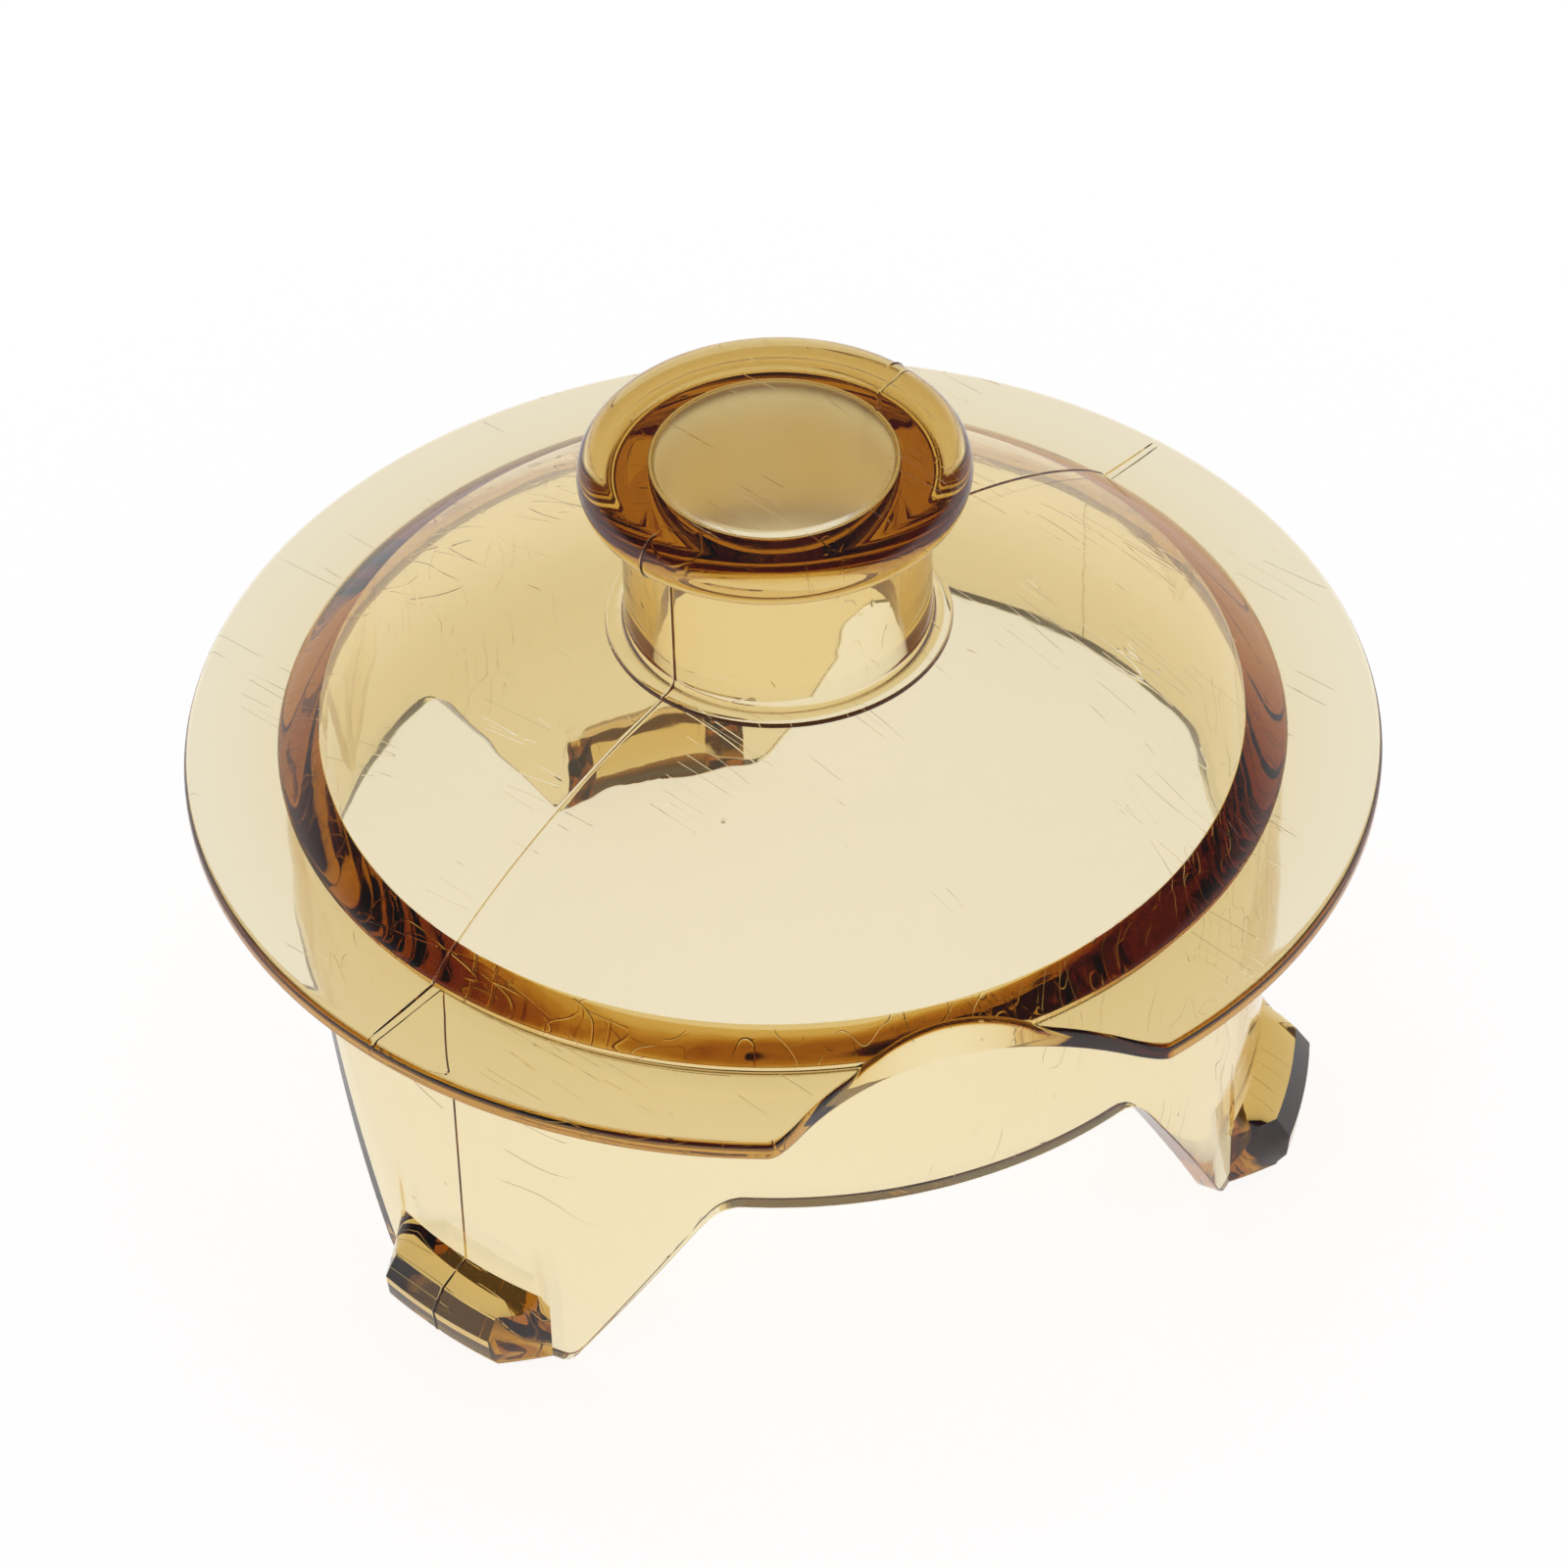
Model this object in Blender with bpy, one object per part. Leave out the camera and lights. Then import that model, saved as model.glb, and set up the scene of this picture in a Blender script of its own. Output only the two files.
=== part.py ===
"""Transparent amber lid for a wax warmer pot.

The lid is a hollow mushroom knob on a shallow dome, a sloping rim flange with a
scalloped notch, a locating skirt, and three legs that each carry a retaining lug.
Metres, +Z up. The origin is on the lid's axis at the level of the feet. X lies in
the vertical parting plane of the moulding, with one leg centred on -X.
"""

import math

import bmesh
import bpy
import numpy as np

# Driving dimensions
LID_RADIUS = 0.0500          # outside of the rim flange
SEAT_HEIGHT = 0.0369         # flat underside of the flange above the feet
FLANGE_EDGE_THICKNESS = 0.0016
CREASE_RADIUS = 0.0420       # circle where the dome drops onto the flange
CREASE_RISE = 0.0021         # that circle above the seat
WALL = 0.0019                # moulded wall of dome, skirt and legs

DOME_RISE = 0.0126           # apex the dome would reach above the crease
DOME_FULLNESS = 0.85         # exponent of the dome's profile; 0.5 is an ellipse, 1 a parabola
SHOULDER_RADIUS = 0.0378     # the shoulder ring carries the dome outside this circle

KNOB_TOP_RISE = 0.03135      # crown of the knob above the seat
KNOB_RADIUS = 0.01605
KNOB_EDGE_RADIUS = 0.0020    # full round of the knob's edge
KNOB_CROWN = 0.00035         # how far the top face domes up in the middle
STEM_RADIUS = 0.0127
HOLLOW_RADIUS = 0.0102       # bore of the stem, open from below
HOLLOW_CEILING = 0.0019      # thickness of the knob's top
NECK_LENGTH = 0.0008         # stem that is moulded with the knob's cap
COLLAR_RADIUS = 0.0140       # foot of the flare around the stem
COLLAR_RISE = 0.0013         # height of the flare above the dome

SKIRT_RADIUS = 0.0408        # outer face of skirt and legs
SKIRT_DEPTH = 0.0146         # lower edge of the skirt below the seat
LEG_COUNT = 3
LEG_TOP_HALF_ANGLE = math.radians(34.0)
LEG_FOOT_HALF_ANGLE = math.radians(14.5)

LUG_HEIGHT = 0.0067
LUG_PROUD = 0.0042           # how far a lug stands out from the leg
LUG_BASE_HALF_ANGLE = math.radians(12.2)
LUG_CREST_HALF_ANGLE = math.radians(7.5)

NOTCH_ANGLE = math.radians(240.0)
NOTCH_CUT_RADIUS = 0.0232
NOTCH_CUT_DISTANCE = 0.0643  # axis of the scallop from the lid's axis

GAP = 0.0003                 # clearance between neighbouring solids
SEGMENTS = 72                # straight sides around the lid
SHARP_ANGLE = math.radians(35.0)


# ------------------------------------------------------------------ materials

def amber_plastic(name, colour, roughness=0.08, transmission=0.6):
    """Clear tinted moulding plastic."""
    material = bpy.data.materials.new(name)
    material.use_nodes = True
    shader = material.node_tree.nodes["Principled BSDF"]
    shader.inputs["Base Color"].default_value = (*colour, 1.0)
    shader.inputs["Roughness"].default_value = roughness
    shader.inputs["Metallic"].default_value = 0.0
    shader.inputs["IOR"].default_value = 1.57
    shader.inputs["Transmission Weight"].default_value = transmission
    material.diffuse_color = (*colour, 1.0)
    return material


# -------------------------------------------------------------------- helpers

def arc(centre, radius, start, end, steps):
    """Points (r, z) on an arc; angles in degrees, 0 outward and 90 up."""
    angles = np.radians(np.linspace(start, end, steps + 1))
    return [(centre[0] + radius * math.cos(a), centre[1] + radius * math.sin(a)) for a in angles]


def dome_top(radius):
    """Height of the dome's outer surface above the feet at a distance from the axis."""
    fraction = 1.0 - (radius / CREASE_RADIUS) ** 2
    return SEAT_HEIGHT + CREASE_RISE + DOME_RISE * max(fraction, 0.0) ** DOME_FULLNESS


def dome_underside(radius):
    """Height of the dome's inner surface, one wall below the outer one."""
    step = 1e-5
    slope = (dome_top(radius) - dome_top(radius - step)) / step
    return dome_top(radius) - WALL * math.sqrt(1.0 + slope * slope)


def finish_mesh(name, bm, material):
    """Make a named object of a bmesh, shaded smooth between its sharp edges."""
    bmesh.ops.recalc_face_normals(bm, faces=bm.faces)
    mesh = bpy.data.meshes.new(name)
    bm.to_mesh(mesh)
    bm.free()
    mesh.materials.append(material)
    mesh.shade_smooth()
    mesh.set_sharp_from_angle(angle=SHARP_ANGLE)
    piece = bpy.data.objects.new(name, mesh)
    bpy.context.scene.collection.objects.link(piece)
    return piece


def turned(name, profile, material):
    """Solid of revolution about Z. A profile that touches the axis closes there."""
    bm = bmesh.new()
    rings = []
    for radius, height in profile:
        if radius < 1e-9:
            rings.append([bm.verts.new((0.0, 0.0, height))])
            continue
        angles = [2.0 * math.pi * k / SEGMENTS for k in range(SEGMENTS)]
        rings.append([bm.verts.new((radius * math.cos(a), radius * math.sin(a), height)) for a in angles])
    for lower, upper in zip(rings, rings[1:] + rings[:1]):
        if len(lower) == 1 and len(upper) == 1:
            continue
        for k in range(SEGMENTS):
            after = (k + 1) % SEGMENTS
            corners = [lower[k % len(lower)], lower[after % len(lower)],
                       upper[after % len(upper)], upper[k % len(upper)]]
            bm.faces.new(list(dict.fromkeys(corners)))
    return finish_mesh(name, bm, material)


def swept_sector(name, sections, material):
    """Solid through a row of closed sections, each a list of (x, y, z) corners."""
    bm = bmesh.new()
    loops = [[bm.verts.new(point) for point in section] for section in sections]
    count = len(loops[0])
    for before, after in zip(loops, loops[1:]):
        for k in range(count):
            bm.faces.new([before[k], before[(k + 1) % count], after[(k + 1) % count], after[k]])
    bm.faces.new(loops[0])
    bm.faces.new(loops[-1])
    return finish_mesh(name, bm, material)


def on_circle(radius, angle, height):
    return (radius * math.cos(angle), radius * math.sin(angle), height)


def cut_notch(piece, cutter):
    modifier = piece.modifiers.new("pour notch", "BOOLEAN")
    modifier.operation = "DIFFERENCE"
    modifier.solver = "EXACT"
    modifier.object = cutter


# ----------------------------------------------------------------- knob

def knob_cap(material):
    """Rounded disc of the knob, with the top of the stem's hollow inside it."""
    top = SEAT_HEIGHT + KNOB_TOP_RISE
    edge_centre = (KNOB_RADIUS - KNOB_EDGE_RADIUS, top - KNOB_CROWN - KNOB_EDGE_RADIUS)
    underside = edge_centre[1] - KNOB_EDGE_RADIUS
    ceiling = top - HOLLOW_CEILING
    blend = 0.0006
    crown = [(0.0, top)]
    for k in range(1, 4):
        share = k / 4
        crown.append((edge_centre[0] * share, top - KNOB_CROWN * share * share))
    profile = crown
    profile += arc(edge_centre, KNOB_EDGE_RADIUS, 90, -90, 8)
    profile += arc((STEM_RADIUS + blend, underside - blend), blend, 90, 180, 2)
    profile += [(STEM_RADIUS, underside - NECK_LENGTH), (HOLLOW_RADIUS, underside - NECK_LENGTH)]
    profile += arc((HOLLOW_RADIUS - blend, ceiling - blend), blend, 0, 90, 2)
    profile += [(0.0, ceiling)]
    return turned("knob_cap", profile, material)


def stem_ends():
    """Heights of the stem's lower and upper end."""
    lower = dome_top(COLLAR_RADIUS) + COLLAR_RISE + GAP
    upper = SEAT_HEIGHT + KNOB_TOP_RISE - KNOB_CROWN - 2 * KNOB_EDGE_RADIUS - NECK_LENGTH - GAP
    return lower, upper


def knob_stem(material):
    """Straight tube between the flare and the knob's cap."""
    lower, upper = stem_ends()
    profile = [(STEM_RADIUS, upper), (STEM_RADIUS, lower), (HOLLOW_RADIUS, lower), (HOLLOW_RADIUS, upper)]
    return turned("knob_stem", profile, material)


def stem_collar(material):
    """Flared foot of the stem, blending into the dome."""
    rise = dome_top(COLLAR_RADIUS) + COLLAR_RISE
    flare = arc((COLLAR_RADIUS, rise), COLLAR_RISE, 180, 270, 4)
    profile = flare + [(COLLAR_RADIUS, dome_underside(COLLAR_RADIUS)),
                       (HOLLOW_RADIUS, dome_underside(COLLAR_RADIUS)), (HOLLOW_RADIUS, rise)]
    return turned("stem_collar", profile, material)


# ----------------------------------------------------------------- cover

def lid_dome(material):
    """Shallow dome shell between the stem's flare and the shoulder ring."""
    radii = np.linspace(COLLAR_RADIUS + GAP, SHOULDER_RADIUS - GAP, 9)
    outer = [(r, dome_top(r)) for r in radii]
    inner = [(r, dome_underside(r)) for r in radii[::-1]]
    return turned("lid_dome", outer + inner, material)


def shoulder_ring(material):
    """Steep edge of the dome, over the root of the skirt."""
    rim = np.linspace(SHOULDER_RADIUS, CREASE_RADIUS, 6)
    outer = [(r, dome_top(r)) for r in rim]
    inner_radius = SKIRT_RADIUS - WALL
    profile = outer + [(CREASE_RADIUS, SEAT_HEIGHT), (inner_radius, SEAT_HEIGHT)]
    profile += [(inner_radius, dome_underside(inner_radius)), (SHOULDER_RADIUS, dome_underside(SHOULDER_RADIUS))]
    return turned("shoulder_ring", profile, material)


def rim_flange(material):
    """Nearly flat flange with a full round outer edge and a flat seat below."""
    edge_radius = FLANGE_EDGE_THICKNESS / 2
    root = CREASE_RADIUS + GAP
    edge_centre = (LID_RADIUS - edge_radius, SEAT_HEIGHT + edge_radius)
    edge_top = SEAT_HEIGHT + FLANGE_EDGE_THICKNESS
    drop = CREASE_RISE - FLANGE_EDGE_THICKNESS
    slope = []
    for k in range(4):
        share = k / 4
        slope.append((root + (edge_centre[0] - root) * share, edge_top + drop * (1 - share) ** 1.3))
    profile = slope + arc(edge_centre, edge_radius, 90, -90, 6) + [(root, SEAT_HEIGHT)]
    return turned("rim_flange", profile, material)


def notch_cutter():
    """Upright cylinder whose side leaves the scalloped notch in the rim."""
    bm = bmesh.new()
    bmesh.ops.create_cone(bm, cap_ends=True, segments=96, radius1=NOTCH_CUT_RADIUS,
                          radius2=NOTCH_CUT_RADIUS, depth=0.03)
    mesh = bpy.data.meshes.new("notch_cutter")
    bm.to_mesh(mesh)
    bm.free()
    cutter = bpy.data.objects.new("notch_cutter", mesh)
    cutter.location = on_circle(NOTCH_CUT_DISTANCE, NOTCH_ANGLE, SEAT_HEIGHT)
    cutter.hide_render = True
    cutter.display_type = "WIRE"
    bpy.context.scene.collection.objects.link(cutter)
    return cutter


# ----------------------------------------------------------------- skirt and legs

def locating_skirt(material):
    """Short tube below the flange that drops into the pot's mouth."""
    upper = SEAT_HEIGHT - GAP
    lower = SEAT_HEIGHT - SKIRT_DEPTH
    inner = SKIRT_RADIUS - WALL
    profile = [(SKIRT_RADIUS, upper), (SKIRT_RADIUS, lower), (inner, lower), (inner, upper)]
    return turned("locating_skirt", profile, material)


def leg(name, centre_angle, material):
    """Curved plate that narrows from the skirt's edge to a flat foot."""
    upper = SEAT_HEIGHT - SKIRT_DEPTH - GAP
    inner = SKIRT_RADIUS - WALL
    sections = []
    for share in np.linspace(-1.0, 1.0, 17):
        top_angle = centre_angle + share * LEG_TOP_HALF_ANGLE
        foot_angle = centre_angle + share * LEG_FOOT_HALF_ANGLE
        sections.append([on_circle(SKIRT_RADIUS, top_angle, upper), on_circle(SKIRT_RADIUS, foot_angle, 0.0),
                         on_circle(inner, foot_angle, 0.0), on_circle(inner, top_angle, upper)])
    return swept_sector(name, sections, material)


def lug(name, centre_angle, material):
    """Wedge on the outer face of a leg, bevelled below and hipped at both ends."""
    base = SKIRT_RADIUS + GAP
    outline = [(0.0, 1.0), (0.70, 0.81), (1.0, 0.54), (0.94, 0.22), (0.72, 0.0), (0.0, 0.0)]
    stations = [(-LUG_BASE_HALF_ANGLE, 0.12)]
    stations += [(a, 1.0) for a in np.linspace(-LUG_CREST_HALF_ANGLE, LUG_CREST_HALF_ANGLE, 5)]
    stations += [(LUG_BASE_HALF_ANGLE, 0.12)]
    sections = []
    for offset, proud in stations:
        section = [on_circle(base + (LUG_PROUD - GAP) * out * proud, centre_angle + offset, up * LUG_HEIGHT)
                   for out, up in outline]
        sections.append(section)
    return swept_sector(name, sections, material)


# ----------------------------------------------------------------- assembly

def build():
    for leftover in list(bpy.data.objects):
        bpy.data.objects.remove(leftover, do_unlink=True)

    shell = amber_plastic("amber shell", (0.83, 0.68, 0.36))
    thick = amber_plastic("amber, thick", (0.55, 0.33, 0.08))
    light = amber_plastic("amber, single wall", (0.90, 0.79, 0.52))

    cutter = notch_cutter()
    knob_cap(thick)
    knob_stem(shell)
    stem_collar(thick)
    lid_dome(shell)
    cut_notch(shoulder_ring(thick), cutter)
    cut_notch(rim_flange(shell), cutter)
    locating_skirt(light)
    for number in range(LEG_COUNT):
        centre_angle = math.pi + 2.0 * math.pi * number / LEG_COUNT
        leg(f"leg_{number + 1}", centre_angle, light)
        lug(f"lug_{number + 1}", centre_angle, thick)


build()
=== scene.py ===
"""Looks for the transparent amber lid: one continuous moulding with its parting line,
flow ripples, scratches and dust specks, on a glowing white floor in a soft studio.

The mesh is built from closed cross-sections at many angles round the axis. Each one
runs from the knob's crown down the outside to a foot or the skirt's edge, and back up
the inside to the ceiling of the knob's hollow.
"""

import math

import bpy
import bmesh
import numpy as np
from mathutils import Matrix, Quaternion, Vector


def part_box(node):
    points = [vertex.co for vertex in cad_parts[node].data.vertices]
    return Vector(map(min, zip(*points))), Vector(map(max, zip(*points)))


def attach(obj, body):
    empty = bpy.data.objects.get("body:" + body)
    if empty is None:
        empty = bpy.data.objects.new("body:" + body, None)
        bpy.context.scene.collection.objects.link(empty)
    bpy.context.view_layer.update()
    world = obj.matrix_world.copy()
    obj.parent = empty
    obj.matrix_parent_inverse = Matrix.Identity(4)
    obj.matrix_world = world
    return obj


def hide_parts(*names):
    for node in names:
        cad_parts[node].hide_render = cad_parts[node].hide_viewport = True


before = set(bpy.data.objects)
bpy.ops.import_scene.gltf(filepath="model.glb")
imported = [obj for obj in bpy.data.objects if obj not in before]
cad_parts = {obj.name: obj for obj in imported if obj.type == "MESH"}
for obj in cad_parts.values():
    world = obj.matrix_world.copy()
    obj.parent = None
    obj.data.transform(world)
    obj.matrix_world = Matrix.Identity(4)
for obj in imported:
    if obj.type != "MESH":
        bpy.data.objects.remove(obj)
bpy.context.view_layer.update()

MM = 0.001

# ------------------------------------------------------------------ sizes from the frame


def low(node):
    return Vector(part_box(node)[0])


def high(node):
    return Vector(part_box(node)[1])


RIM_RADIUS = high("rim_flange").x
SEAT = low("rim_flange").z
CREASE_RADIUS = high("shoulder_ring").x
CREASE_Z = high("rim_flange").z
KNOB_RADIUS = high("knob_cap").x
KNOB_TOP = high("knob_cap").z
STEM_RADIUS = high("knob_stem").x
COLLAR_RADIUS = high("stem_collar").x
SKIRT_RADIUS = high("locating_skirt").x
SKIRT_EDGE = low("locating_skirt").z
LUG_HEIGHT = high("lug_1").z
LUG_PROUD = -low("lug_1").x - SKIRT_RADIUS

# ------------------------------------------------------------------ moulding details

WALL = 1.9 * MM                  # wall of the dome
DOME_RISE = 12.6 * MM            # apex the dome would reach above the crease
DOME_FULLNESS = 0.85             # exponent of the dome's profile
CREASE_STEP = 0.22 * MM          # the dome's edge stands this far above the flange
CREASE_WIDTH = 0.10 * MM         # width of that step

RIM_THICKNESS = 1.6 * MM
RIM_TOP_ROUND = 0.80 * MM
RIM_LOW_ROUND = 0.30 * MM
FLANGE_CURVE = 1.3               # exponent: the flange falls steeply at first, then flattens

KNOB_EDGE = 2.0 * MM             # full round of the knob's edge
KNOB_CROWN = 0.35 * MM
KNOB_CEILING = 1.9 * MM          # thickness of the knob's top over the hollow
STEM_FILLET = 1.3 * MM           # between the stem and the underside of the knob
HOLLOW_RADIUS = 10.2 * MM
HOLLOW_MOUTH_ROUND = 0.9 * MM
CEILING_ROUND = 0.7 * MM
COLLAR_STEP = 0.25 * MM          # low ledge round the foot of the stem's flare
COLLAR_LEDGE = 0.12 * MM
COLLAR_CHAMFER = 0.10 * MM
COVER_START = 0.34 * MM          # the dome's own points start this far outside the flare

ROOT_WALL = 2.8 * MM             # wall of the skirt and legs where they leave the dome
INNER_DRAFT = 0.7 * MM           # how much thinner that wall gets on its way down to the feet
ROOT_CORNER = 0.05 * MM          # chamfer in the sharp corner between dome and skirt
ROOT_FILLET = 0.6 * MM           # between the flange's underside and the skirt
EDGE_CORNER = 0.14 * MM          # radius on the lower edges of skirt and legs

LEG_ANGLES = [180.0, 300.0, 60.0]
LEG_FOOT_HALF = 14.5
LEG_TOP_HALF = 34.0
LEG_FOOT_BLEND = 1.6 * MM        # how softly a leg's side turns into its foot
LEG_TOP_BLEND = 3.0 * MM         # and into the skirt's lower edge
LUG_CREST_HALF = 7.5
LUG_BASE_HALF = 12.2
LUG_SECTION = [(0.0, 1.0), (0.35, 0.92), (0.70, 0.81), (1.0, 0.54), (0.94, 0.22), (0.74, 0.04)]

NOTCH_ANGLE = 240.0
NOTCH_RADIUS = 23.2 * MM
NOTCH_DISTANCE = 64.3 * MM       # axis of the scallop from the lid's axis
NOTCH_TOP_ROUND = 0.65 * MM
NOTCH_CORNER = 2.4 * MM          # how far the notch's outer corners are rounded
NOTCH_FADE = 2.5 * MM            # depth of cut over which the rim's rounding changes

SEAM_ANGLES = (0.0, 180.0)       # the vertical parting plane
SEAM_HEIGHT = 0.12 * MM
SEAM_WIDTH = 0.09 * MM
SEAM_REACH = 3.0                 # degrees beyond which the seam lifts nothing
SEAM_RIM_FADE = 1.5 * MM         # the seam is trimmed off near the rim
SEAM_FOOT_FADE = (0.2 * MM, 1.2 * MM)

STATION_STEP = 1.125             # degrees between cross-sections
SHARP_ANGLE = math.radians(26.0)
CROWN_POINTS = 12                # points of a cross-section on the knob's top face

# ------------------------------------------------------------------ surface details

IOR = 1.57
TINT = (0.825, 0.637, 0.025, 1.0)
TINT_DENSITY = 255.0             # per metre of plastic
RIPPLE_SCALE = 115.0             # flow waves about 9 mm apart
RIPPLE_HEIGHT = 0.05 * MM
SCRATCH_DEPTH = 0.012 * MM
SCRATCH_SPACING = 2.2 * MM
SCRATCH_TURN = 24.0
SCRATCH_STRETCH = (1.0, 0.06, 0.4)
SCRATCH_WIDTH = 0.008            # share of the noise's range that a scratch takes up
SCRATCH_PATCHES = (0.50, 0.60)
SCRATCH_ROUGHNESS = 0.10
SPECK_HEIGHT = 0.02 * MM
SPECK_SPACING = 5.0 * MM
SPECK_SIZE = (0.03, 0.07)        # a speck fades out between these shares of its spacing
SPECK_RARITY = (0.70, 0.72)      # only cells above this value hold one
SPECK_ROUGHNESS = 0.30
CEILING_ROUGHNESS = 0.28
MATTE_INSET = 0.05 * MM          # the matte ceiling stops this far inside the hollow's wall
MATTE_TOP = 0.2 * MM             # its band of heights, measured from the ceiling
MATTE_BOTTOM = -0.72 * MM
HAZE_SCALE = 160.0
HAZE_PATCHES = (0.40, 0.75)
HAZE_LOW = 0.010                 # roughness of the clearest and the haziest patches
HAZE_HIGH = 0.045

# ------------------------------------------------------------------ studio and camera

WHITE = (1.0, 1.0, 1.0, 1.0)
FLOOR_COLOUR = (0.9, 0.9, 0.9, 1.0)
FLOOR_ROUGHNESS = 0.7
FLOOR_GLOW = 0.79
FLOOR_HALF = 1.5
FLOOR_DROP = 0.0002              # keeps the floor clear of the feet
WORLD_DIM = (0.13, 0.125, 0.135, 1.0)
WORLD_WHITE_BELOW = 8.0          # degrees above the horizon
WORLD_DIM_ABOVE = 34.0
LIGHT_BOUNCES = 24               # light is trapped by total reflection in the clear wall

CAMERA_AZIMUTH = math.radians(-47.35)
CAMERA_ELEVATION = math.radians(41.6)
CAMERA_ROLL = math.radians(-1.7)
CAMERA_DISTANCE = 11.1 * RIM_RADIUS
CAMERA_FRAME = 0.132             # width of the view at the lid
CAMERA_TARGET = Vector((0.0, 0.0, 31.8 * MM))
CAMERA_SENSOR = 36.0


# ------------------------------------------------------------------ helpers

def smoothstep(low_edge, high_edge, value):
    share = min(max((value - low_edge) / (high_edge - low_edge), 0.0), 1.0)
    return share * share * (3.0 - 2.0 * share)


def rounded_min(a, b, blend):
    """The lower of two values, with the corner between them rounded off."""
    overlap = max(blend - abs(a - b), 0.0) / blend
    return min(a, b) - overlap * overlap * blend / 4.0


def turn_from(angle, centre):
    """Signed degrees from a direction, between -180 and 180."""
    return (angle - centre + 180.0) % 360.0 - 180.0


def arc(centre_r, centre_z, radius, start, end, steps):
    """Points (r, z) on an arc; degrees, 0 outward and 90 up."""
    angles = np.radians(np.linspace(start, end, steps + 1))
    return [(centre_r + radius * math.cos(a), centre_z + radius * math.sin(a)) for a in angles]


def line(start, end, steps):
    """Points after start up to and including end."""
    return [(start[0] + (end[0] - start[0]) * k / steps, start[1] + (end[1] - start[1]) * k / steps)
            for k in range(1, steps + 1)]


# ------------------------------------------------------------------ shape of the moulding

def dome_top(radius):
    """Height of the dome's outer surface."""
    share = max(1.0 - (radius / CREASE_RADIUS) ** 2, 0.0)
    return CREASE_Z + CREASE_STEP + DOME_RISE * share ** DOME_FULLNESS


def dome_underside(radius):
    """Height of the dome's inner surface, one wall below the outer one."""
    step = 1e-5
    slope = (dome_top(radius) - dome_top(radius - step)) / step
    return dome_top(radius) - WALL * math.sqrt(1.0 + slope * slope)


def flange_top(radius):
    """Height of the flange's top face."""
    edge = RIM_RADIUS - RIM_TOP_ROUND
    share = min(max((edge - radius) / (edge - CREASE_RADIUS), 0.0), 1.0)
    return SEAT + RIM_THICKNESS + (CREASE_Z - SEAT - RIM_THICKNESS) * share ** FLANGE_CURVE


def rim_radius(angle):
    """Outline of the flange seen from above: a circle with a scalloped notch."""
    offset = math.radians(abs(turn_from(angle, NOTCH_ANGLE)))
    across = NOTCH_DISTANCE * math.sin(offset)
    if across >= NOTCH_RADIUS or offset > 1.0:
        return RIM_RADIUS
    notch = NOTCH_DISTANCE * math.cos(offset) - math.sqrt(NOTCH_RADIUS ** 2 - across ** 2)
    return rounded_min(RIM_RADIUS, notch, NOTCH_CORNER)


def leg_offset(angle):
    """Degrees to the middle of the nearest leg."""
    return min(abs(turn_from(angle, leg)) for leg in LEG_ANGLES)


def lower_edge(angle):
    """Height of the skirt's lower edge, which comes down round each leg to its foot."""
    share = (leg_offset(angle) - LEG_FOOT_HALF) / (LEG_TOP_HALF - LEG_FOOT_HALF)
    side = SKIRT_EDGE * share
    raised = -rounded_min(-side, 0.0, LEG_FOOT_BLEND)
    return rounded_min(raised, SKIRT_EDGE, LEG_TOP_BLEND)


def lug_share(angle):
    """1 over a lug's crest, falling to 0 at its hipped ends."""
    return min(max((LUG_BASE_HALF - leg_offset(angle)) / (LUG_BASE_HALF - LUG_CREST_HALF), 0.0), 1.0)


def knob_outline():
    """Crown, round edge, underside, stem and flare, down to the dome."""
    edge_r = KNOB_RADIUS - KNOB_EDGE
    edge_z = KNOB_TOP - KNOB_CROWN - KNOB_EDGE
    points = [(0.0, KNOB_TOP)]
    for k in range(1, CROWN_POINTS):
        share = k / CROWN_POINTS
        points.append((edge_r * share, KNOB_TOP - KNOB_CROWN * share ** 2))
    points += arc(edge_r, edge_z, KNOB_EDGE, 90, -90, 18)
    underside = edge_z - KNOB_EDGE
    points += arc(STEM_RADIUS + STEM_FILLET, underside - STEM_FILLET, STEM_FILLET, 90, 180, 7)
    flare = COLLAR_RADIUS - STEM_RADIUS
    foot = dome_top(COLLAR_RADIUS) + COLLAR_STEP
    points += line(points[-1], (STEM_RADIUS, foot + flare), 3)
    points += arc(COLLAR_RADIUS, foot + flare, flare, 180, 262, 8)[1:]
    ledge = COLLAR_RADIUS + COLLAR_LEDGE
    points += [(ledge, foot), (ledge + COLLAR_CHAMFER, foot - COLLAR_CHAMFER)]
    return points


def cover_outline(rim):
    """Dome, crease and flange, out to where the edge's rounding starts."""
    start = COLLAR_RADIUS + COVER_START
    shares = [math.sin(math.pi / 2 * k / 44) for k in range(45)]
    radii = [start + (CREASE_RADIUS - start) * share for share in shares]
    points = [(min(r, rim), dome_top(min(r, rim))) for r in radii]
    points[-1] = (points[-1][0], dome_top(min(CREASE_RADIUS - 0.01 * MM, rim)))
    first = CREASE_RADIUS + CREASE_WIDTH
    for k in range(17):
        radius = first + (rim - first) * k / 16
        if rim <= first:
            points.append(points[-1])
        else:
            points.append((radius, flange_top(radius)))
    return points


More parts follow.
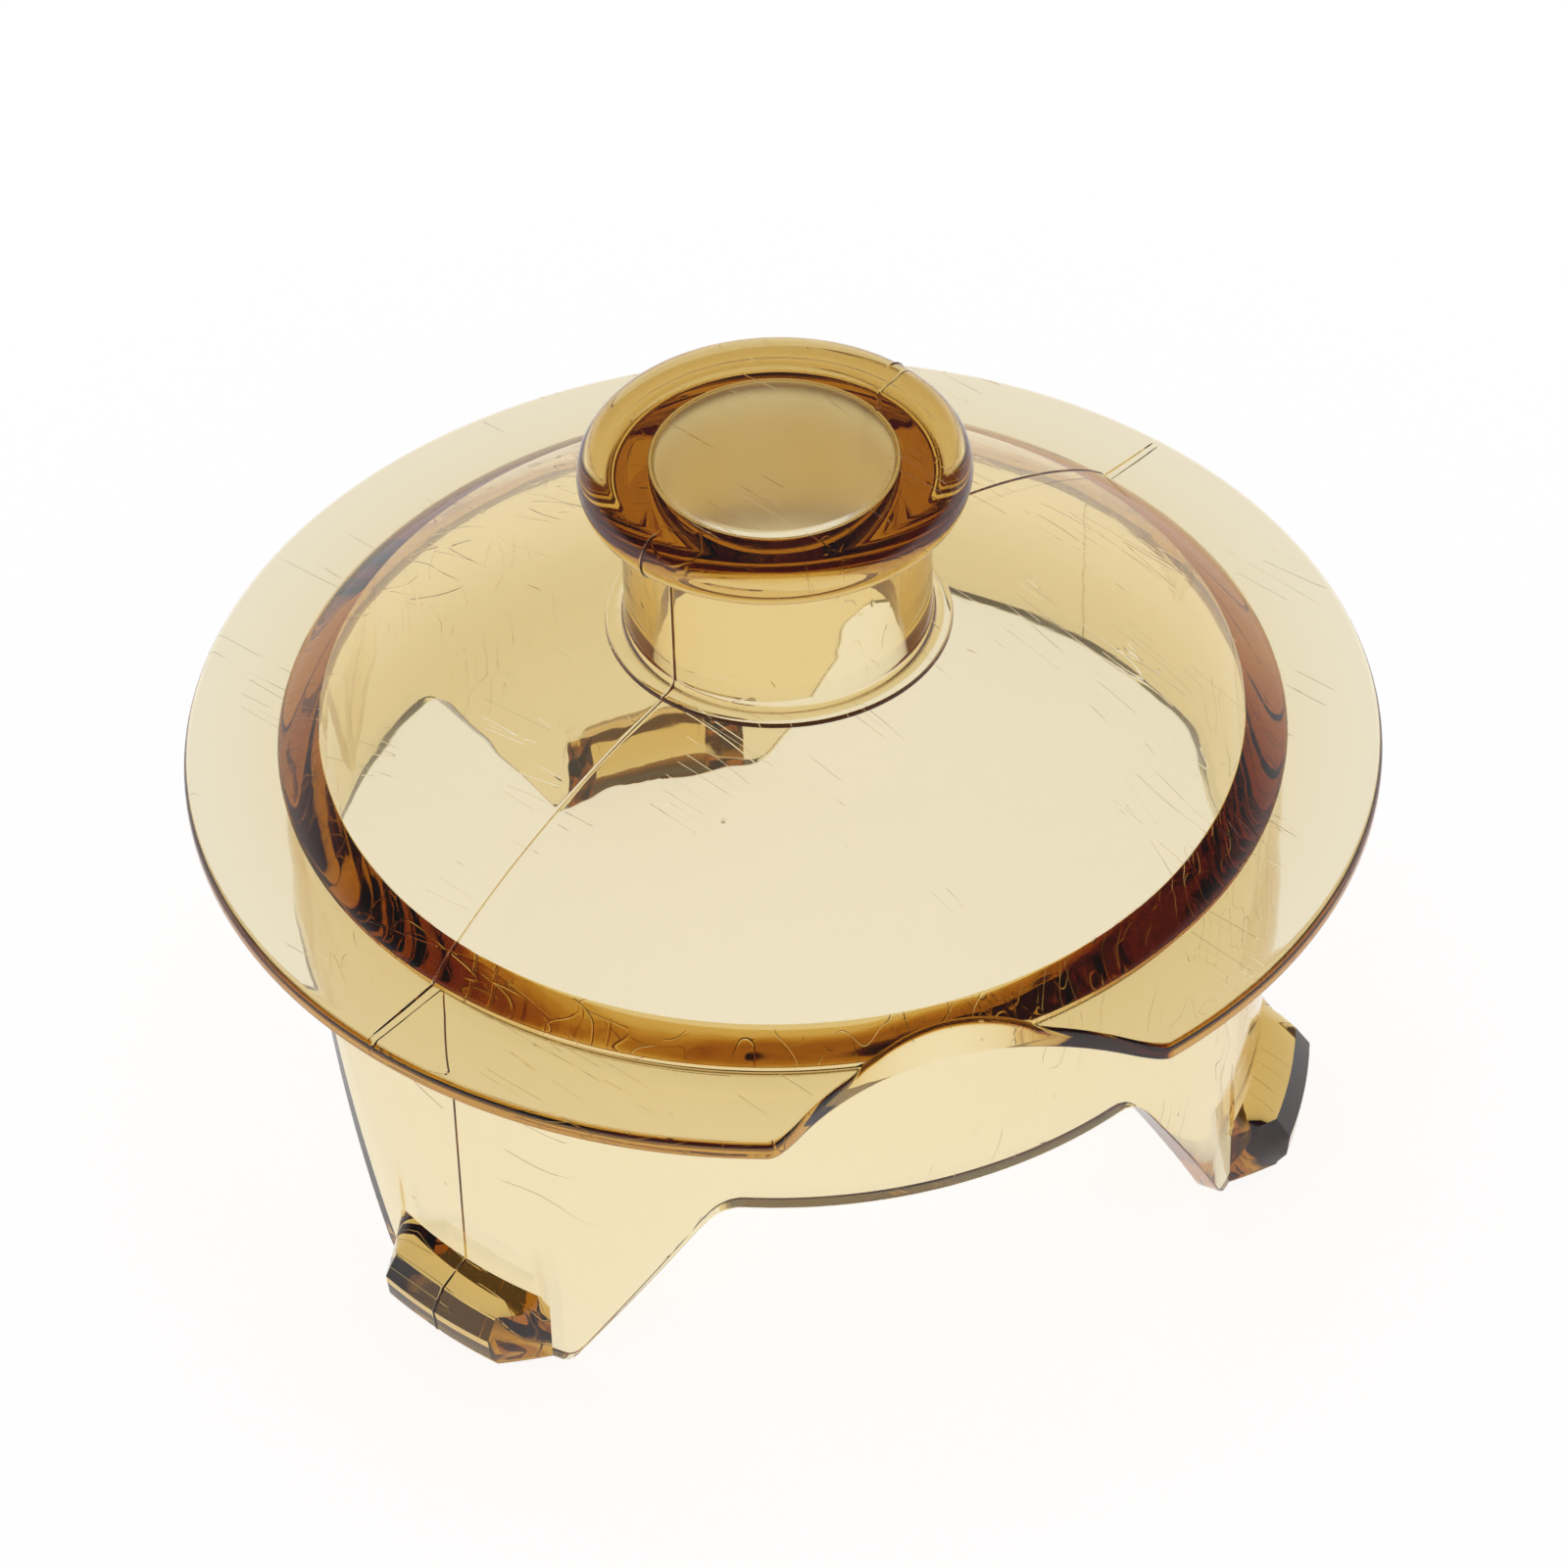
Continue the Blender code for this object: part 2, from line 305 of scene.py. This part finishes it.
def section(angle):
    """The moulding's cross-section at one angle, as (r, z) points, and how many of them
    lie on its outside."""
    outer = rim_radius(angle)
    cut = smoothstep(0.0, NOTCH_FADE, RIM_RADIUS - outer)
    top_round = RIM_TOP_ROUND * (1 - cut) + NOTCH_TOP_ROUND * cut
    ledge = outer - SKIRT_RADIUS
    low_round = min(RIM_LOW_ROUND, 0.45 * ledge)
    fillet = min(ROOT_FILLET, 0.45 * ledge)

    points = knob_outline()
    points += cover_outline(outer - top_round)
    top_r, top_z = points[-1]
    points += arc(top_r, top_z - top_round, top_round, 90, 0, 7)[1:]
    points += line(points[-1], (outer, SEAT + low_round), 4)
    points += arc(outer - low_round, SEAT + low_round, low_round, 0, -90, 7)[1:]
    points += line(points[-1], (SKIRT_RADIUS + fillet, SEAT), 5)
    points += arc(SKIRT_RADIUS + fillet, SEAT - fillet, fillet, 90, 180, 5)[1:]

    bottom = lower_edge(angle)
    lug = LUG_PROUD * lug_share(angle)
    points += line(points[-1], (SKIRT_RADIUS, bottom + LUG_HEIGHT), 4)
    points += [(SKIRT_RADIUS + lug * out, bottom + LUG_HEIGHT * up) for out, up in LUG_SECTION[1:]]
    corner = EDGE_CORNER
    foot_r = SKIRT_RADIUS + lug * LUG_SECTION[-1][0] - corner
    points += arc(foot_r, bottom + corner, corner, 0, -90, 4)
    outer_count = len(points)

    root = SKIRT_RADIUS - ROOT_WALL
    root_z = dome_underside(root) - ROOT_CORNER
    inner = root + INNER_DRAFT * (root_z - bottom) / root_z
    points += line(points[-1], (inner + corner, bottom), 3)
    points += arc(inner + corner, bottom + corner, corner, 270, 180, 4)[1:]
    points += line(points[-1], (root, root_z), 6)
    mouth = HOLLOW_RADIUS + HOLLOW_MOUTH_ROUND
    points += [(r, dome_underside(r)) for r in np.linspace(root - ROOT_CORNER, mouth, 26)]
    points += arc(mouth, dome_underside(mouth) + HOLLOW_MOUTH_ROUND, HOLLOW_MOUTH_ROUND, 270, 180, 6)[1:]
    ceiling = KNOB_TOP - KNOB_CEILING
    soft = CEILING_ROUND
    points += line(points[-1], (HOLLOW_RADIUS, ceiling - soft), 3)
    points += arc(HOLLOW_RADIUS - soft, ceiling - soft, soft, 0, 90, 6)[1:]
    points += line(points[-1], (0.0, ceiling), 2)
    return points, outer_count


def stations():
    """Angles round the lid, closer together where the shape changes quickly."""
    angles = set(np.arange(0.0, 360.0, STATION_STEP))
    for seam in SEAM_ANGLES:
        for offset in (0.05, 0.11, 0.18, 0.27, 0.38, 0.55, 0.75):
            angles.update({(seam + offset) % 360.0, (seam - offset) % 360.0})
    for leg in LEG_ANGLES:
        for offset in (LUG_CREST_HALF, LUG_BASE_HALF,
                       LEG_FOOT_HALF - 0.6, LEG_FOOT_HALF, LEG_FOOT_HALF + 0.6,
                       LEG_TOP_HALF - 0.6, LEG_TOP_HALF, LEG_TOP_HALF + 0.6):
            angles.update({(leg + offset) % 360.0, (leg - offset) % 360.0})
    for offset in np.arange(15.5, 20.5, 0.25):
        angles.update({(NOTCH_ANGLE + offset) % 360.0, (NOTCH_ANGLE - offset) % 360.0})
    return sorted(angles)


def seam_lift(radius, height, angle):
    """How far the parting line's flash lifts the outer surface."""
    across = min(abs(turn_from(angle, seam)) for seam in SEAM_ANGLES)
    if across > SEAM_REACH:
        return 0.0
    sideways = radius * math.sin(math.radians(across))
    fade = smoothstep(0.0, SEAM_RIM_FADE, RIM_RADIUS - radius) * smoothstep(*SEAM_FOOT_FADE, height)
    return SEAM_HEIGHT * math.exp(-(sideways / SEAM_WIDTH) ** 2) * fade


def raised_point(points, index, angle):
    """A point of the outside, moved along its normal by the parting line's flash."""
    radius, height = points[index]
    before, after = points[index - 1], points[index + 1]
    run, rise = after[0] - before[0], after[1] - before[1]
    length = math.hypot(run, rise)
    if length <= 1e-9:
        return radius, height
    lift = seam_lift(radius, height, angle)
    return radius - rise / length * lift, height + run / length * lift


def moulding_mesh():
    """Closed mesh of the whole lid, from its cross-sections round the axis."""
    grid = []
    for angle in stations():
        points, outer_count = section(angle)
        direction = (math.cos(math.radians(angle)), math.sin(math.radians(angle)))
        column = []
        for index, (radius, height) in enumerate(points):
            if CROWN_POINTS < index < outer_count - 1:
                radius, height = raised_point(points, index, angle)
            column.append((radius * direction[0], radius * direction[1], height))
        grid.append(column)

    bm = bmesh.new()
    top = bm.verts.new((0.0, 0.0, KNOB_TOP))
    ceiling = bm.verts.new((0.0, 0.0, grid[0][-1][2]))
    rows = [[bm.verts.new(co) for co in column[1:-1]] for column in grid]
    for here, after in zip(rows, rows[1:] + rows[:1]):
        bm.faces.new((top, here[0], after[0]))
        for k in range(len(here) - 1):
            bm.faces.new((here[k], here[k + 1], after[k + 1], after[k]))
        bm.faces.new((here[-1], ceiling, after[-1]))
    bmesh.ops.remove_doubles(bm, verts=bm.verts, dist=2e-6)
    bmesh.ops.dissolve_degenerate(bm, edges=bm.edges, dist=1e-6)
    bmesh.ops.recalc_face_normals(bm, faces=bm.faces)
    mesh = bpy.data.meshes.new("moulded_lid")
    bm.to_mesh(mesh)
    bm.free()
    mesh.shade_smooth()
    mesh.set_sharp_from_angle(angle=SHARP_ANGLE)
    return mesh


# ------------------------------------------------------------------ materials

def new_material(name):
    """A material with its nodes and links."""
    material = bpy.data.materials.new(name)
    material.use_nodes = True
    return material, material.node_tree.nodes, material.node_tree.links


def noise(nodes, links, vector, scale, detail=2.0, distortion=0.0):
    """Noise texture's value on a vector socket."""
    texture = nodes.new("ShaderNodeTexNoise")
    texture.inputs["Scale"].default_value = scale
    texture.inputs["Detail"].default_value = detail
    texture.inputs["Distortion"].default_value = distortion
    links.new(vector, texture.inputs["Vector"])
    return texture.outputs["Fac"]


def remap(nodes, links, value, from_low, from_high, to_low, to_high):
    """Linear map of a value, clamped at both ends."""
    ramp = nodes.new("ShaderNodeMapRange")
    ramp.inputs["From Min"].default_value = from_low
    ramp.inputs["From Max"].default_value = from_high
    ramp.inputs["To Min"].default_value = to_low
    ramp.inputs["To Max"].default_value = to_high
    links.new(value, ramp.inputs["Value"])
    return ramp.outputs["Result"]


def combine(nodes, links, operation, first, second):
    """Arithmetic of two values; the second may be a plain number."""
    node = nodes.new("ShaderNodeMath")
    node.operation = operation
    links.new(first, node.inputs[0])
    if isinstance(second, float):
        node.inputs[1].default_value = second
    else:
        links.new(second, node.inputs[1])
    return node.outputs["Value"]


def scratches(nodes, links, vector, patches):
    """Hairline scratches, long in one direction, that start and stop with the patches: 0 to 1."""
    mapping = nodes.new("ShaderNodeMapping")
    mapping.inputs["Rotation"].default_value = (0.0, 0.0, math.radians(SCRATCH_TURN))
    mapping.inputs["Scale"].default_value = SCRATCH_STRETCH
    links.new(vector, mapping.inputs["Vector"])
    stretched = noise(nodes, links, mapping.outputs["Vector"], 1.0 / SCRATCH_SPACING, 0.0)
    from_middle = nodes.new("ShaderNodeMath")
    from_middle.operation = "ABSOLUTE"
    links.new(combine(nodes, links, "SUBTRACT", stretched, 0.5), from_middle.inputs[0])
    hairline = remap(nodes, links, from_middle.outputs["Value"], 0.0, SCRATCH_WIDTH, 1.0, 0.0)
    present = remap(nodes, links, patches, *SCRATCH_PATCHES, 0.0, 1.0)
    return combine(nodes, links, "MULTIPLY", hairline, present)


def specks(nodes, links, vector):
    """Dust and small inclusions: rare dots, 0 to 1."""
    cells = nodes.new("ShaderNodeTexVoronoi")
    cells.inputs["Scale"].default_value = 1.0 / SPECK_SPACING
    cells.inputs["Randomness"].default_value = 1.0
    links.new(vector, cells.inputs["Vector"])
    dot = remap(nodes, links, cells.outputs["Distance"], *SPECK_SIZE, 1.0, 0.0)
    brightness = nodes.new("ShaderNodeSeparateColor")
    links.new(cells.outputs["Color"], brightness.inputs["Color"])
    rare = remap(nodes, links, brightness.outputs["Red"], *SPECK_RARITY, 0.0, 1.0)
    return combine(nodes, links, "MULTIPLY", dot, rare)


def matte_ceiling(nodes, links, vector):
    """Extra roughness on the ceiling of the knob's hollow, which the moulding's core left matte."""
    parts = nodes.new("ShaderNodeSeparateXYZ")
    links.new(vector, parts.inputs["Vector"])
    squares = combine(nodes, links, "ADD", combine(nodes, links, "POWER", parts.outputs["X"], 2.0),
                      combine(nodes, links, "POWER", parts.outputs["Y"], 2.0))
    inside = combine(nodes, links, "LESS_THAN", squares, (HOLLOW_RADIUS - MATTE_INSET) ** 2)
    depth = combine(nodes, links, "SUBTRACT", parts.outputs["Z"], KNOB_TOP - KNOB_CEILING)
    below = combine(nodes, links, "LESS_THAN", depth, MATTE_TOP)
    above = combine(nodes, links, "GREATER_THAN", depth, MATTE_BOTTOM)
    band = combine(nodes, links, "MULTIPLY", below, above)
    mask = combine(nodes, links, "MULTIPLY", inside, band)
    return combine(nodes, links, "MULTIPLY", mask, CEILING_ROUGHNESS)


def amber_plastic():
    """Clear amber plastic: it absorbs blue most, so thick or edge-on parts turn dark brown.
    The surface has slow flow ripples, hairline scratches, dust specks and hazy patches."""
    material, nodes, links = new_material("amber_plastic")
    shader = nodes["Principled BSDF"]
    shader.inputs["Base Color"].default_value = WHITE
    shader.inputs["IOR"].default_value = IOR
    shader.inputs["Transmission Weight"].default_value = 1.0

    vector = nodes.new("ShaderNodeTexCoord").outputs["Object"]
    ripple = noise(nodes, links, vector, RIPPLE_SCALE, 1.0, 0.4)
    marks = scratches(nodes, links, vector, ripple)
    dust = specks(nodes, links, vector)

    patches = noise(nodes, links, vector, HAZE_SCALE, 2.0)
    haze = remap(nodes, links, patches, *HAZE_PATCHES, HAZE_LOW, HAZE_HIGH)
    scratched = remap(nodes, links, marks, 0.0, 1.0, 0.0, SCRATCH_ROUGHNESS)
    dusty = remap(nodes, links, dust, 0.0, 1.0, 0.0, SPECK_ROUGHNESS)
    roughness = combine(nodes, links, "ADD", haze, scratched)
    roughness = combine(nodes, links, "ADD", roughness, dusty)
    roughness = combine(nodes, links, "ADD", roughness, matte_ceiling(nodes, links, vector))
    links.new(roughness, shader.inputs["Roughness"])

    waves = combine(nodes, links, "MULTIPLY", ripple, RIPPLE_HEIGHT)
    grooves = combine(nodes, links, "MULTIPLY", marks, SCRATCH_DEPTH)
    grains = combine(nodes, links, "MULTIPLY", dust, SPECK_HEIGHT)
    height = combine(nodes, links, "SUBTRACT", waves, grooves)
    height = combine(nodes, links, "ADD", height, grains)
    bump = nodes.new("ShaderNodeBump")
    bump.inputs["Strength"].default_value = 1.0
    bump.inputs["Distance"].default_value = 1.0
    links.new(height, bump.inputs["Height"])
    links.new(bump.outputs["Normal"], shader.inputs["Normal"])

    absorption = nodes.new("ShaderNodeVolumeAbsorption")
    absorption.inputs["Color"].default_value = TINT
    absorption.inputs["Density"].default_value = TINT_DENSITY
    links.new(absorption.outputs["Volume"], nodes["Material Output"].inputs["Volume"])
    return material


def floor_material():
    """White table that glows, as if lit from below."""
    material, nodes, _links = new_material("studio_floor")
    shader = nodes["Principled BSDF"]
    shader.inputs["Base Color"].default_value = FLOOR_COLOUR
    shader.inputs["Roughness"].default_value = FLOOR_ROUGHNESS
    shader.inputs["Emission Color"].default_value = WHITE
    shader.inputs["Emission Strength"].default_value = FLOOR_GLOW
    return material


# ------------------------------------------------------------------ object

def build_lid():
    """The whole lid as one piece, in place of all the nodes of the frame."""
    mesh = moulding_mesh()
    mesh.materials.append(amber_plastic())
    lid = bpy.data.objects.new("moulded_lid", mesh)
    bpy.context.scene.collection.objects.link(lid)
    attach(lid, "root")
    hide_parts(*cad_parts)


# ------------------------------------------------------------------ studio

def build_world():
    """White near the horizon, dim overhead."""
    world = bpy.data.worlds.new("studio")
    world.use_nodes = True
    nodes, links = world.node_tree.nodes, world.node_tree.links
    coords = nodes.new("ShaderNodeTexCoord")
    parts = nodes.new("ShaderNodeSeparateXYZ")
    ramp = nodes.new("ShaderNodeMapRange")
    ramp.interpolation_type = "SMOOTHSTEP"
    ramp.inputs["From Min"].default_value = math.sin(math.radians(WORLD_WHITE_BELOW))
    ramp.inputs["From Max"].default_value = math.sin(math.radians(WORLD_DIM_ABOVE))
    mix = nodes.new("ShaderNodeMix")
    mix.data_type = "RGBA"
    mix.inputs["A"].default_value = WHITE
    mix.inputs["B"].default_value = WORLD_DIM
    links.new(coords.outputs["Generated"], parts.inputs["Vector"])
    links.new(parts.outputs["Z"], ramp.inputs["Value"])
    links.new(ramp.outputs["Result"], mix.inputs["Factor"])
    links.new(mix.outputs["Result"], nodes["Background"].inputs["Color"])
    bpy.context.scene.world = world


def build_floor():
    """Plain floor, far larger than the view."""
    mesh = bpy.data.meshes.new("studio_floor")
    half = FLOOR_HALF
    corners = [(-half, -half, 0.0), (half, -half, 0.0), (half, half, 0.0), (-half, half, 0.0)]
    mesh.from_pydata(corners, [], [(0, 1, 2, 3)])
    mesh.materials.append(floor_material())
    floor = bpy.data.objects.new("studio_floor", mesh)
    floor.location.z = -FLOOR_DROP
    bpy.context.scene.collection.objects.link(floor)


def build_studio():
    """Floor, world and how light is traced and shown."""
    build_floor()
    build_world()
    scene = bpy.context.scene
    scene.view_settings.view_transform = "Standard"
    scene.cycles.max_bounces = LIGHT_BOUNCES
    scene.cycles.glossy_bounces = LIGHT_BOUNCES
    scene.cycles.transmission_bounces = LIGHT_BOUNCES


# ------------------------------------------------------------------ camera

def build_camera():
    """Long lens from the front left, above the lid."""
    direction = Vector((math.sin(CAMERA_AZIMUTH) * math.cos(CAMERA_ELEVATION),
                        -math.cos(CAMERA_AZIMUTH) * math.cos(CAMERA_ELEVATION),
                        math.sin(CAMERA_ELEVATION)))
    data = bpy.data.cameras.new("camera")
    data.sensor_width = CAMERA_SENSOR
    data.lens = data.sensor_width * CAMERA_DISTANCE / CAMERA_FRAME
    data.clip_start = 0.01
    camera = bpy.data.objects.new("camera", data)
    camera.location = CAMERA_TARGET + direction * CAMERA_DISTANCE
    camera.rotation_mode = "QUATERNION"
    roll = Quaternion((0.0, 0.0, 1.0), CAMERA_ROLL)
    camera.rotation_quaternion = (-direction).to_track_quat("-Z", "Y") @ roll
    bpy.context.scene.collection.objects.link(camera)
    bpy.context.scene.camera = camera


build_camera()
build_lid()
build_studio()
